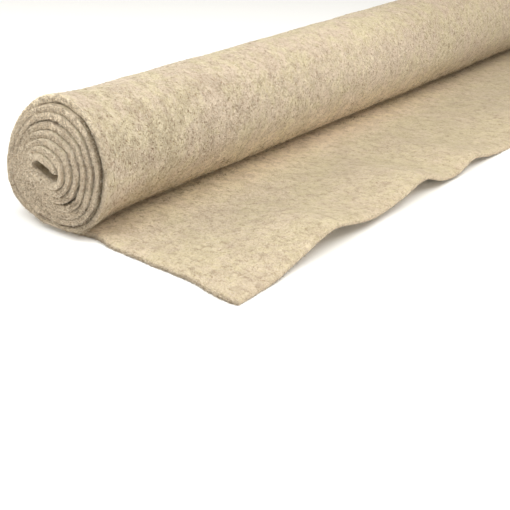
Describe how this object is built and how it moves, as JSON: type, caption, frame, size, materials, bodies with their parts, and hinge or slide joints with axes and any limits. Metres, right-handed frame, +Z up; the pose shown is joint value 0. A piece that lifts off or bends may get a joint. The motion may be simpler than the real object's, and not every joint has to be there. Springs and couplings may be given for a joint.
{
  "type": "roll of weed control mat",
  "caption": "Rolled mat of thick natural-fibre needled felt with a loose end lying flat, for laying over soil to hold weeds down.",
  "frame": {"origin": "centre of the bounding box's footprint, on the surface that the mat rests on", "axes": "+Y along the roll, away from the end whose core has slid out; +X toward the loose end; +Z up"},
  "size_m": [0.289, 1.0234, 0.1299],
  "materials": {
    "felt": "matte needled natural-fibre felt, light beige with pale and dark fibres"
  },
  "bodies": {
    "root": {"mat": "felt"}
  },
  "joints": []
}
